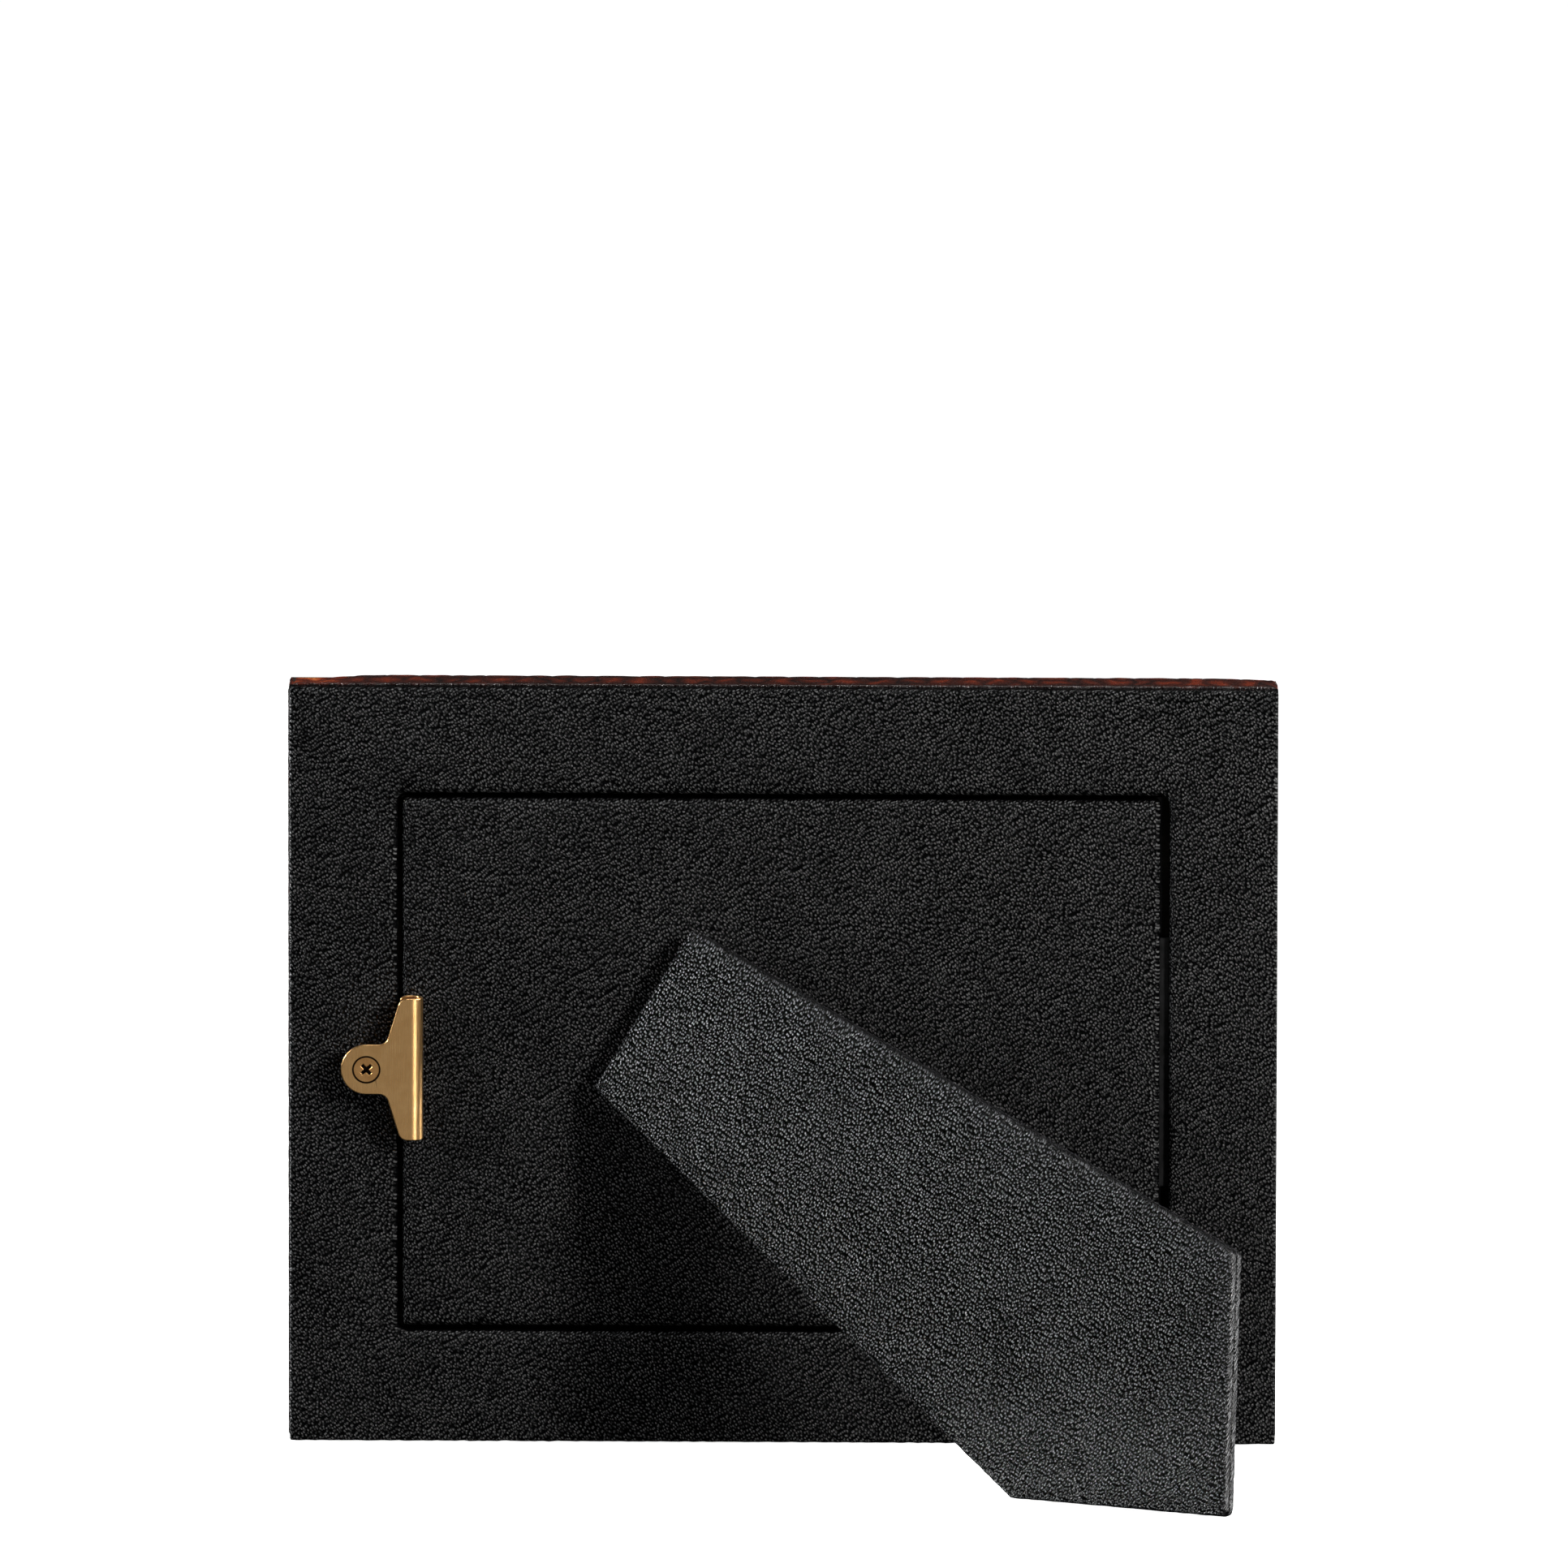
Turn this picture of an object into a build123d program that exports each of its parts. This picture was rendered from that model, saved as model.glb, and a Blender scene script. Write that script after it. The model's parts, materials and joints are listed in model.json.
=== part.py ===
from build123d import *
import os
from math import cos, radians, sin, tan

# Leather-covered picture frame for a 5 x 7 inch print, standing in landscape on its easel leg.
# Row frame: X along the width, the picture faces -Y, +Z is up and the table is Z = 0.
# BACK is the frame's own plane: x to the right as seen from behind, y up the back face,
# z out of the back. LEG is the leg's own plane: x down the leg from the hinge pin, y along
# the pin, z out of the leg's outer face. All lengths are in millimetres, angles in degrees.

# ---- Print, glass and the stack behind it, from the front face to the back face
print_width = 177.8
print_height = 127.0
window_overlap = 3.0
leather = 1.1
lip = 3.0
glass_thickness = 2.0
print_thickness = 0.25
card_thickness = 1.5
pad_thickness = 2.1
lining_thickness = 0.4
backboard_core_thickness = 2.9
skin = 0.6
backboard_set_in = 0.15
layer_clearance = 0.4

# ---- Backboard, recess and rim
backboard_over_print_x = 0.3
backboard_over_print_y = 0.7
gap_clip_side = 0.9
gap_tongue_side = 2.0
gap_top_bottom = 1.1
rim_side = 25.5
rim_top_bottom = 26.25
recess_rise = 0.65
rim_thickness = 3.3
rim_corner_radius = 2.2
backboard_corner_radius = 0.8
leather_proud = 0.55
front_round = 2.0
window_round = 1.4
edge_round = 0.5

# ---- Tongue that holds the side of the backboard away from the clip
tongue_length = 60.0
tongue_thickness = 0.8
tongue_on_board = 10.0
tongue_reach = 4.5
tongue_corner_radius = 0.8
tongue_slot_clearance = 0.2
tongue_slot_depth = 4.0
tongue_rivet_spacing = 40.0

# ---- Turn clip, its screw and its spacer
clip_from_side = 18.2
clip_tab_radius = 6.0
clip_neck = 4.6
clip_shoulder = 8.0
clip_reach = 13.3
clip_bar_length = 34.3
clip_neck_fillet = 2.3
clip_corner_fillet = 2.3
clip_sheet = 0.9
clip_height = 4.2
clip_bend_width = 2.8
clip_lip_width = 2.6
clip_over_rim = 0.1
clip_play = 0.05
screw_radius = 1.5
screw_head_radius = 3.05
screw_sink_clearance = 0.25
screw_sink_angle = 120.0
screw_depth = 8.0
cross_span = 3.1
cross_width = 0.85
cross_depth = 0.8
cross_taper = 8.0
cross_turn = 42.0
spacer_radius = 3.4

# ---- Stance: how far the frame leans, and how far the leg opens
lean = 5.0
portrait_lean = 5.5
leg_opening = 31.3

# ---- Easel leg
hinge_from_side = 145.9
hinge_above_bottom = 104.4
leg_heading = -30.7
leg_head_width = 44.4
leg_upper_flare = 6.0
leg_lower_flare = -7.05
knuckle_cover = 0.1
inner_overhang = 0.5
leg_clearance = 0.65
outer_ply = 2.8
leg_foot_radius = 2.0
leg_corner_radius = 1.0

# ---- Strut hinge in the pocket of the leg's inner ply
knuckle_radius = 1.6
pin_radius = 1.0
pin_clearance = 0.05
board_leaf_thickness = 0.5
leg_leaf_thickness = 0.8
leaf_length = 13.0
hinge_width = 30.0
leg_knuckle_width = 14.8
knuckle_gap = 0.3
knuckle_play = 0.1
knuckle_to_seam = 0.3
knuckle_to_leaf = 0.5
pocket_margin = 1.0
pocket_end_margin = 2.0
rivet_radius = 1.0
rivet_head_radius = 1.9
rivet_head = 0.5
rivet_from_pin = 8.0
hinge_rivet_spacing = 18.0

# ---- Worked out from the sizes above
backboard_width = print_width + backboard_over_print_x
backboard_height = print_height + backboard_over_print_y
recess_width = backboard_width + gap_clip_side + gap_tongue_side
recess_height = backboard_height + 2 * gap_top_bottom
width = recess_width + 2 * rim_side
height = recess_height + 2 * rim_top_bottom
middle = height / 2 + recess_rise
window_width = print_width - 2 * window_overlap
window_height = print_height - 2 * window_overlap
backboard_x = (gap_clip_side - gap_tongue_side) / 2
backboard_right = backboard_x + backboard_width / 2

board_face = -backboard_set_in
core_back = board_face - skin
core_front = core_back - backboard_core_thickness
lining_front = core_front - lining_thickness
pad_front = lining_front - pad_thickness
card_front = pad_front - card_thickness
print_front = card_front - print_thickness
glass_front = print_front - glass_thickness
lip_front = glass_front - lip
front = lip_front - leather

clip_x = clip_from_side - width / 2
clip_y = height / 2
clip_top = clip_over_rim + clip_height
screw_top = clip_top - clip_play

pin_height = board_face + knuckle_radius
inner_face = leg_clearance - pin_height
seam = knuckle_radius + knuckle_to_seam
inner_ply = seam - inner_face
outer_face = seam + outer_ply
outer_overhang = knuckle_radius + knuckle_cover
leaf_relief = knuckle_radius + knuckle_to_leaf
pocket_width = hinge_width + 2 * pocket_margin
pocket_length = leaf_length + pocket_end_margin

LEAN = radians(lean)
PORTRAIT_LEAN = radians(portrait_lean)


def rest_height(reach, angle):
    """Height of the frame's own origin over a table that its nearer back edge stands on."""
    rim_edge = reach * cos(angle)
    leather_edge = (reach + leather_proud) * cos(angle) - rim_thickness * sin(angle)
    return max(rim_edge, leather_edge)


def back_plane(set_back):
    """The back face's plane, with its bottom edge set_back behind the row's origin."""
    return Plane(
        origin=(0, set_back, rest_height(0, LEAN)),
        x_dir=(-1, 0, 0),
        z_dir=(0, cos(LEAN), -sin(LEAN)),
    )


HINGE = Location((width / 2 - hinge_from_side, hinge_above_bottom, pin_height), (0, 0, leg_heading))
OPENED = HINGE * Location((0, 0, 0), (0, -leg_opening, 0))
LEG_ON_BACK = Plane(OPENED)


def table_line(up, rest):
    """Line (a, b, c), a x + b y = c, where the leg's inner face meets a table with normal up."""
    start = LEG_ON_BACK.origin + LEG_ON_BACK.z_dir * inner_face
    return up.dot(LEG_ON_BACK.x_dir), up.dot(LEG_ON_BACK.y_dir), -rest - up.dot(start)


def side_line(y, flare):
    """Line (a, b, c) of a side of the leg that leaves its head at y and flares by an angle."""
    a = -sin(radians(flare))
    b = cos(radians(flare))
    return a, b, -a * outer_overhang + b * y


def crossing(first, second):
    """Point where two lines (a, b, c) cross."""
    a1, b1, c1 = first
    a2, b2, c2 = second
    size = a1 * b2 - a2 * b1
    return (c1 * b2 - c2 * b1) / size, (a1 * c2 - a2 * c1) / size


# The leg has two feet: one for the frame in landscape and one for the frame in portrait.
landscape_foot = table_line(Vector(0, cos(LEAN), -sin(LEAN)), rest_height(0, LEAN))
portrait_foot = table_line(
    Vector(-cos(PORTRAIT_LEAN), 0, -sin(PORTRAIT_LEAN)),
    rest_height(width / 2, PORTRAIT_LEAN),
)
upper_side = side_line(leg_head_width / 2, leg_upper_flare)
lower_side = side_line(-leg_head_width / 2, leg_lower_flare)
low_toe = crossing(lower_side, landscape_foot)
heel = crossing(landscape_foot, portrait_foot)
high_toe = crossing(upper_side, portrait_foot)


def leg_outline(head_x):
    """Rounded five-sided outline of a ply of the leg whose head edge lies at head_x."""
    head_line = (1, 0, head_x)
    head_top = crossing(upper_side, head_line)
    head_bottom = crossing(lower_side, head_line)
    with BuildSketch() as outline:
        with BuildLine():
            Polyline(head_top, head_bottom, low_toe, heel, high_toe, close=True)
        make_face()
        fillet(outline.vertices().group_by(Axis.X)[-1], radius=leg_foot_radius)
        others = outline.vertices().sort_by(Axis.X)[:-2]
        fillet(others, radius=leg_corner_radius)
    return outline.sketch


outer_outline = leg_outline(-outer_overhang)
inner_outline = leg_outline(-inner_overhang)

# The origin is below the middle of the standing frame's box, from the front edge to the heel.
standing_leg = Plane(back_plane(0).location * OPENED).offset(outer_face)
farthest_back = (standing_leg * outer_outline).bounding_box().max.Y
round_centre_y = (front_round - leather_proud) * sin(LEAN) + (front + front_round) * cos(LEAN)
farthest_front = round_centre_y - front_round

BACK = back_plane(-(farthest_front + farthest_back) / 2)
LEG = Plane(BACK.location * OPENED)
CLIP = Plane(BACK.location * Location((clip_x, clip_y, 0)))
CLIP_SECTION = Plane(origin=CLIP.origin, x_dir=CLIP.x_dir, z_dir=-CLIP.y_dir)
BACK_AXIS = Axis(BACK.origin, BACK.z_dir)
LEG_AXIS = Axis(LEG.origin, LEG.z_dir)
CLIP_AXIS = Axis(CLIP.origin, CLIP.z_dir)

parts = []


def keep(part, name):
    """Label a finished piece and put it on the list that is written at the end."""
    part.label = name
    parts.append(part)


def centred(x, y):
    """Location in the BACK plane, measured from the middle of the recess."""
    return Locations((x, middle + y))


def end_edges(part, axis, end):
    """Edges of the face at one end of a part: end -1 is the far one along the axis, 0 the near."""
    return part.faces().sort_by(axis)[end].edges()


# ---- Core of the frame: a rebated ring of wood fibre board, in four mitred rails
with BuildPart() as core_ring:
    with BuildSketch(BACK.offset(-rim_thickness)):
        with Locations((0, height / 2)):
            Rectangle(width + 2 * (leather_proud - leather), height + 2 * (leather_proud - leather))
        with centred(0, 0):
            Rectangle(recess_width, recess_height, mode=Mode.SUBTRACT)
    extrude(amount=lip_front + rim_thickness)
    with BuildSketch(BACK.offset(glass_front)):
        with centred(0, 0):
            Rectangle(recess_width, recess_height)
            Rectangle(window_width + 2 * leather, window_height + 2 * leather, mode=Mode.SUBTRACT)
    extrude(amount=-lip)
    with BuildSketch(BACK.offset(lining_front + tongue_slot_clearance)):
        with centred(recess_width / 2, 0):
            Rectangle(2 * tongue_slot_depth, tongue_length + 2 * tongue_slot_clearance)
    extrude(amount=-tongue_thickness - 2 * tongue_slot_clearance, mode=Mode.SUBTRACT)
    with Locations(CLIP.location):
        Hole(radius=screw_radius, depth=screw_depth)

# ---- Leather over the front, the outer sides and the edge of the window
with BuildPart() as leather_ring:
    with BuildSketch(BACK.offset(-rim_thickness)):
        with Locations((0, height / 2)):
            Rectangle(width + 2 * leather_proud, height + 2 * leather_proud)
        with centred(0, 0):
            Rectangle(window_width, window_height, mode=Mode.SUBTRACT)
    extrude(amount=front + rim_thickness)
    front_edges = end_edges(leather_ring, BACK_AXIS, 0)
    fillet(front_edges.group_by(SortBy.LENGTH)[2:], radius=front_round)
    front_edges = end_edges(leather_ring, BACK_AXIS, 0)
    fillet(front_edges.group_by(SortBy.LENGTH)[:2], radius=window_round)
    with BuildSketch(BACK.offset(-rim_thickness)):
        with Locations((0, height / 2)):
            Rectangle(width + 2 * (leather_proud - leather), height + 2 * (leather_proud - leather))
    extrude(amount=glass_front + rim_thickness, mode=Mode.SUBTRACT)
    with BuildSketch(BACK.offset(glass_front)):
        with Locations((0, height / 2)):
            Rectangle(width + 2 * (leather_proud - leather), height + 2 * (leather_proud - leather))
        with centred(0, 0):
            Rectangle(window_width + 2 * leather, window_height + 2 * leather, mode=Mode.SUBTRACT)
    extrude(amount=-lip, mode=Mode.SUBTRACT)

# Each side's share of a ring lies between the mitre lines that leave the outer corners at 45 degrees.
half_width = width / 2 + leather_proud
top_edge = height + leather_proud
bottom_edge = -leather_proud
depth = (top_edge - bottom_edge) / 2
mitres = {
    "top": [(-half_width, top_edge), (half_width, top_edge),
            (half_width - depth, top_edge - depth), (depth - half_width, top_edge - depth)],
    "bottom": [(half_width, bottom_edge), (-half_width, bottom_edge),
               (depth - half_width, bottom_edge + depth), (half_width - depth, bottom_edge + depth)],
    "left": [(-half_width, bottom_edge), (-half_width, top_edge), (depth - half_width, top_edge - depth)],
    "right": [(half_width, top_edge), (half_width, bottom_edge), (half_width - depth, top_edge - depth)],
}
for side, corners in mitres.items():
    for ring, name in ((core_ring, "core_rail"), (leather_ring, "leather")):
        with BuildPart() as share:
            add(ring.part)
            with BuildSketch(BACK):
                with BuildLine():
                    Polyline(*corners, close=True)
                make_face()
            extrude(amount=front, mode=Mode.INTERSECT)
        keep(share.part, f"{name}_{side}")

# ---- Rim around the recess: a board ring with leatherette wrapped over its back and edges
with BuildPart() as rim_board:
    with BuildSketch(BACK.offset(-rim_thickness)):
        with Locations((0, height / 2)):
            Rectangle(width - 2 * skin, height - 2 * skin)
        with centred(0, 0):
            RectangleRounded(
                recess_width + 2 * skin,
                recess_height + 2 * skin,
                rim_corner_radius + skin,
                mode=Mode.SUBTRACT,
            )
    extrude(amount=rim_thickness - skin)
    with Locations(CLIP.location):
        Hole(radius=screw_radius, depth=screw_depth)
keep(rim_board.part, "rim_board")

with BuildPart() as rim_cover:
    with BuildSketch(BACK.offset(-rim_thickness)):
        with Locations((0, height / 2)):
            Rectangle(width, height)
        with centred(0, 0):
            RectangleRounded(recess_width, recess_height, rim_corner_radius, mode=Mode.SUBTRACT)
    extrude(amount=rim_thickness)
    fillet(end_edges(rim_cover, BACK_AXIS, -1), radius=edge_round)
    add(rim_board.part, mode=Mode.SUBTRACT)
    with Locations(CLIP.location):
        Hole(radius=screw_radius, depth=screw_depth)
keep(rim_cover.part, "rim_cover")

# ---- Glass, print, card and felt pad in the rebate
for name, back_level, thickness in (
    ("glass", print_front, glass_thickness),
    ("photo_print", card_front, print_thickness),
    ("backing_card", pad_front, card_thickness),
):
    with BuildPart() as sheet:
        with BuildSketch(BACK.offset(back_level)):
            with centred(0, 0):
                Rectangle(print_width, print_height)
        extrude(amount=-thickness)
    keep(sheet.part, name)

pad_left = -print_width / 2 + layer_clearance
pad_right = backboard_right - tongue_on_board - layer_clearance
with BuildPart() as pressure_pad:
    with BuildSketch(BACK.offset(lining_front)):
        with centred((pad_left + pad_right) / 2, 0):
            Rectangle(pad_right - pad_left, print_height - 2 * layer_clearance)
    extrude(amount=-pad_thickness)
keep(pressure_pad.part, "pressure_pad")

# ---- Rivets: a low head, a shank, and the run of plies that the shank goes through


def rivets(name, plane, spots, shank):
    """Rivets with their heads' undersides on the plane and their shanks going down from it."""
    with BuildPart() as group:
        with BuildSketch(plane):
            with Locations(*spots):
                Circle(rivet_head_radius)
        extrude(amount=rivet_head)
        fillet(end_edges(group, Axis(plane.origin, plane.z_dir), -1), radius=rivet_head / 2)
        with BuildSketch(plane):
            with Locations(*spots):
                Circle(rivet_radius)
        extrude(amount=-shank)
    keep(group.part, name)
    return group.part


# ---- Tongue on the backboard's inner face, which hooks behind the rim
tongue_back = BACK.offset(lining_front)
tongue_front = Plane(tongue_back.offset(-tongue_thickness).location * Location((0, 0, 0), (180, 0, 0)))
tongue_rivet_x = backboard_right - tongue_on_board / 2
tongue_spots = [(tongue_rivet_x, -middle - side * tongue_rivet_spacing / 2) for side in (-1, 1)]
tongue_rivets = rivets(
    "tongue_rivets",
    tongue_front,
    tongue_spots,
    tongue_thickness + lining_thickness + backboard_core_thickness,
)
with BuildPart() as backboard_tongue:
    with BuildSketch(tongue_back):
        with centred(backboard_right + (tongue_reach - tongue_on_board) / 2, 0):
            RectangleRounded(tongue_on_board + tongue_reach, tongue_length, tongue_corner_radius)
    extrude(amount=-tongue_thickness)
    add(tongue_rivets, mode=Mode.SUBTRACT)
keep(backboard_tongue.part, "backboard_tongue")

# ---- Rivets of the strut hinge's two leaves
hinge_spots = [(rivet_from_pin, side * hinge_rivet_spacing / 2) for side in (-1, 1)]
SHUT = Plane(BACK.location * HINGE)
board_rivets = rivets(
    "board_rivets",
    SHUT.offset(board_leaf_thickness - knuckle_radius),
    hinge_spots,
    board_leaf_thickness + skin + backboard_core_thickness,
)
leg_leaf_back = Plane(LEG.offset(seam - leg_leaf_thickness).location * Location((0, 0, 0), (180, 0, 0)))
leg_rivets = rivets("leg_rivets", leg_leaf_back, hinge_spots, leg_leaf_thickness + outer_ply - skin)

# ---- Backboard: a board wrapped in leatherette, lined on its inner face
with BuildPart() as backboard_core:
    with BuildSketch(BACK.offset(core_front)):
        with centred(backboard_x, 0):
            Rectangle(backboard_width - 2 * skin, backboard_height - 2 * skin)
    extrude(amount=backboard_core_thickness)
    add(board_rivets, mode=Mode.SUBTRACT)
    add(tongue_rivets, mode=Mode.SUBTRACT)
keep(backboard_core.part, "backboard_core")

with BuildPart() as backboard_cover:
    with BuildSketch(BACK.offset(core_front)):
        with centred(backboard_x, 0):
            RectangleRounded(backboard_width, backboard_height, backboard_corner_radius)
    extrude(amount=backboard_core_thickness + skin)
    fillet(end_edges(backboard_cover, BACK_AXIS, -1), radius=edge_round)
    with BuildSketch(BACK.offset(core_front)):
        with centred(backboard_x, 0):
            Rectangle(backboard_width - 2 * skin, backboard_height - 2 * skin)
    extrude(amount=backboard_core_thickness, mode=Mode.SUBTRACT)
    add(board_rivets, mode=Mode.SUBTRACT)
keep(backboard_cover.part, "backboard_cover")

with BuildPart() as backboard_lining:
    with BuildSketch(BACK.offset(core_front)):
        with centred(backboard_x, 0):
            RectangleRounded(backboard_width, backboard_height, backboard_corner_radius)
    extrude(amount=-lining_thickness)
    add(tongue_rivets, mode=Mode.SUBTRACT)
keep(backboard_lining.part, "backboard_lining")

# ---- Strut hinge: a leaf on the backboard, a leaf on the leg, and the pin through both


def knuckles(y_spans, radius, mode=Mode.ADD):
    """Round knuckles about the hinge pin over the given stretches of its axis."""
    for low, high in y_spans:
        with BuildSketch(Plane(origin=SHUT.from_local_coords((0, low, 0)), z_dir=SHUT.y_dir)) as round_end:
            Circle(radius)
        extrude(round_end.sketch, amount=high - low, mode=mode)


def leaf(plane, near_spans, thickness):
    """Flat leaf that leaves the knuckles over near_spans and is relieved beside the others."""
    with BuildSketch(plane) as outline:
        with Locations(((leaf_relief + leaf_length) / 2, 0)):
            Rectangle(leaf_length - leaf_relief, hinge_width)
        for low, high in near_spans:
            with Locations((leaf_relief / 2, (low + high) / 2)):
                Rectangle(leaf_relief, high - low)
    extrude(outline.sketch, amount=thickness)


end_knuckle = leg_knuckle_width / 2 + knuckle_gap
board_spans = [(-hinge_width / 2, -end_knuckle), (end_knuckle, hinge_width / 2)]
leg_spans = [(-leg_knuckle_width / 2, leg_knuckle_width / 2)]

with BuildPart() as hinge_board_leaf:
    leaf(SHUT.offset(-knuckle_radius), board_spans, board_leaf_thickness)
    knuckles(board_spans, knuckle_radius)
    knuckles([(-hinge_width / 2, hinge_width / 2)], pin_radius, Mode.SUBTRACT)
    add(board_rivets, mode=Mode.SUBTRACT)
keep(hinge_board_leaf.part, "hinge_board_leaf")

with BuildPart() as hinge_leg_leaf:
    leaf(LEG.offset(seam - leg_leaf_thickness), leg_spans, leg_leaf_thickness)
    knuckles(leg_spans, knuckle_radius - knuckle_play)
    knuckles(leg_spans, pin_radius + pin_clearance, Mode.SUBTRACT)
    add(leg_rivets, mode=Mode.SUBTRACT)
keep(hinge_leg_leaf.part, "hinge_leg_leaf")

with BuildPart() as hinge_pin:
    knuckles([(-hinge_width / 2, hinge_width / 2)], pin_radius)
keep(hinge_pin.part, "hinge_pin")

# ---- Easel leg: two leatherette-wrapped boards, seam to seam


def pocket(level, thickness):
    """Cut the hinge's pocket through the inner ply."""
    with BuildSketch(LEG.offset(level)) as opening:
        with Locations(((pocket_length - outer_overhang) / 2, 0)):
            Rectangle(pocket_length + outer_overhang, pocket_width)
    extrude(opening.sketch, amount=thickness, mode=Mode.SUBTRACT)


def leg_board(level, thickness, outline, mode=Mode.ADD):
    """Core board of a ply: its outline, a skin's thickness in from the edges."""
    with BuildSketch(LEG.offset(level)) as board:
        add(offset(outline, amount=-skin, mode=Mode.PRIVATE))
    extrude(board.sketch, amount=thickness, mode=mode)


with BuildPart() as leg_outer_board:
    leg_board(seam, outer_ply - skin, outer_outline)
    add(leg_rivets, mode=Mode.SUBTRACT)
keep(leg_outer_board.part, "leg_outer_board")

with BuildPart() as leg_outer_cover:
    with BuildSketch(LEG.offset(seam)):
        add(outer_outline)
    extrude(amount=outer_ply)
    fillet(end_edges(leg_outer_cover, LEG_AXIS, -1), radius=edge_round)
    fillet(end_edges(leg_outer_cover, LEG_AXIS, 0), radius=edge_round)
    leg_board(seam, outer_ply - skin, outer_outline, Mode.SUBTRACT)
keep(leg_outer_cover.part, "leg_outer_cover")

with BuildPart() as leg_inner_board:
    leg_board(inner_face + skin, inner_ply - skin, inner_outline)
    pocket(inner_face, inner_ply)
keep(leg_inner_board.part, "leg_inner_board")

with BuildPart() as leg_inner_cover:
    with BuildSketch(LEG.offset(inner_face)):
        add(inner_outline)
    extrude(amount=inner_ply)
    fillet(end_edges(leg_inner_cover, LEG_AXIS, -1), radius=edge_round)
    fillet(end_edges(leg_inner_cover, LEG_AXIS, 0), radius=edge_round)
    leg_board(inner_face + skin, inner_ply - skin, inner_outline, Mode.SUBTRACT)
    pocket(inner_face, inner_ply)
keep(leg_inner_cover.part, "leg_inner_cover")

# ---- Turn clip: a tab on the screw, and a bar whose edge is rolled under into a lip
bend_x = clip_reach - clip_bend_width
roll_x = clip_bend_width
roll_y = clip_height / 2
with BuildPart() as turn_clip:
    with BuildSketch(CLIP_SECTION):
        with Locations((bend_x, clip_over_rim + roll_y)):
            Ellipse(roll_x, roll_y)
            Ellipse(roll_x - clip_sheet, roll_y - clip_sheet, mode=Mode.SUBTRACT)
        with Locations((bend_x - roll_x / 2, clip_over_rim + roll_y)):
            Rectangle(roll_x, clip_height, mode=Mode.SUBTRACT)
        with Locations(((bend_x - clip_tab_radius) / 2, clip_top - clip_sheet / 2)):
            Rectangle(bend_x + clip_tab_radius, clip_sheet)
        with Locations((bend_x - clip_lip_width / 2, clip_over_rim + clip_sheet / 2)):
            Rectangle(clip_lip_width, clip_sheet)
    extrude(amount=clip_bar_length / 2, both=True)
    with BuildSketch(CLIP) as clip_outline:
        with BuildLine():
            Polyline(
                (0, clip_tab_radius),
                (clip_neck, clip_tab_radius),
                (clip_shoulder, clip_bar_length / 2),
                (clip_reach, clip_bar_length / 2),
                (clip_reach, -clip_bar_length / 2),
                (clip_shoulder, -clip_bar_length / 2),
                (clip_neck, -clip_tab_radius),
                (0, -clip_tab_radius),
                close=True,
            )
        make_face()
        for corner_x, corner_radius in ((clip_neck, clip_neck_fillet), (clip_shoulder, clip_corner_fillet)):
            corners = clip_outline.vertices().filter_by(lambda v: abs(v.X - corner_x) < clip_play)
            fillet(corners, radius=corner_radius)
        Circle(clip_tab_radius)
    extrude(amount=clip_top, mode=Mode.INTERSECT)
    with Locations(CLIP.offset(clip_top).location):
        CounterSinkHole(
            radius=screw_radius + clip_play,
            counter_sink_radius=screw_head_radius + screw_sink_clearance,
            depth=clip_sheet,
            counter_sink_angle=screw_sink_angle,
        )
keep(turn_clip.part, "turn_clip")

# ---- Clip screw with a cross recess, and the spacer that holds the clip off the rim
sink_run = (screw_head_radius - screw_radius) / tan(radians(screw_sink_angle / 2))
with BuildPart() as clip_screw:
    with BuildSketch(CLIP_SECTION):
        with BuildLine():
            Polyline(
                (0, -screw_depth),
                (screw_radius, -screw_depth),
                (screw_radius, screw_top - sink_run),
                (screw_head_radius, screw_top),
                (0, screw_top),
                close=True,
            )
        make_face()
    revolve(axis=CLIP_AXIS)
    with BuildSketch(CLIP.offset(screw_top)):
        for turn in (cross_turn, cross_turn + 90):
            with Locations(Location((0, 0, 0), (0, 0, turn))):
                Rectangle(cross_span, cross_width)
    extrude(amount=-cross_depth, taper=cross_taper, mode=Mode.SUBTRACT)
keep(clip_screw.part, "clip_screw")

with BuildPart() as clip_spacer:
    with BuildSketch(CLIP):
        Circle(spacer_radius)
        Circle(screw_radius, mode=Mode.SUBTRACT)
    extrude(amount=clip_top - clip_sheet - clip_play)
keep(clip_spacer.part, "clip_spacer")

os.makedirs("parts", exist_ok=True)
for part in parts:
    export_step(part, f"parts/{part.label}.step")
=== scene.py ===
import json
import math

import bmesh
import bpy
import numpy as np
from mathutils import Matrix, Vector


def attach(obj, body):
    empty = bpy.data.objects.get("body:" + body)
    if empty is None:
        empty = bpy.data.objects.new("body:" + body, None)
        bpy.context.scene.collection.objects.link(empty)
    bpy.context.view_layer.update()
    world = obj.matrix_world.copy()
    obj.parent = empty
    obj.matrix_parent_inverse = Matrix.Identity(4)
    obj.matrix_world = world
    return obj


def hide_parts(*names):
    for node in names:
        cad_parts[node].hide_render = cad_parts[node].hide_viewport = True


# The looks of a leather-covered picture frame that stands on its easel leg and is seen from
# behind. Lengths named here are in millimetres, and the scene is in metres.
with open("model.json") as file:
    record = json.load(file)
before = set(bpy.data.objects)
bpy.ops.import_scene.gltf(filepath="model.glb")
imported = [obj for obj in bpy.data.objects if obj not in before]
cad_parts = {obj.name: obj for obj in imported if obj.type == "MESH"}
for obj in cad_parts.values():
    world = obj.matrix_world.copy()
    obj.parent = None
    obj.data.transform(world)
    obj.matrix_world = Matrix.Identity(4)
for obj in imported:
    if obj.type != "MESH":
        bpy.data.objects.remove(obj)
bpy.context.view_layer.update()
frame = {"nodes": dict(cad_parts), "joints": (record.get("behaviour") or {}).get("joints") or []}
nodes = frame["nodes"]
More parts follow.
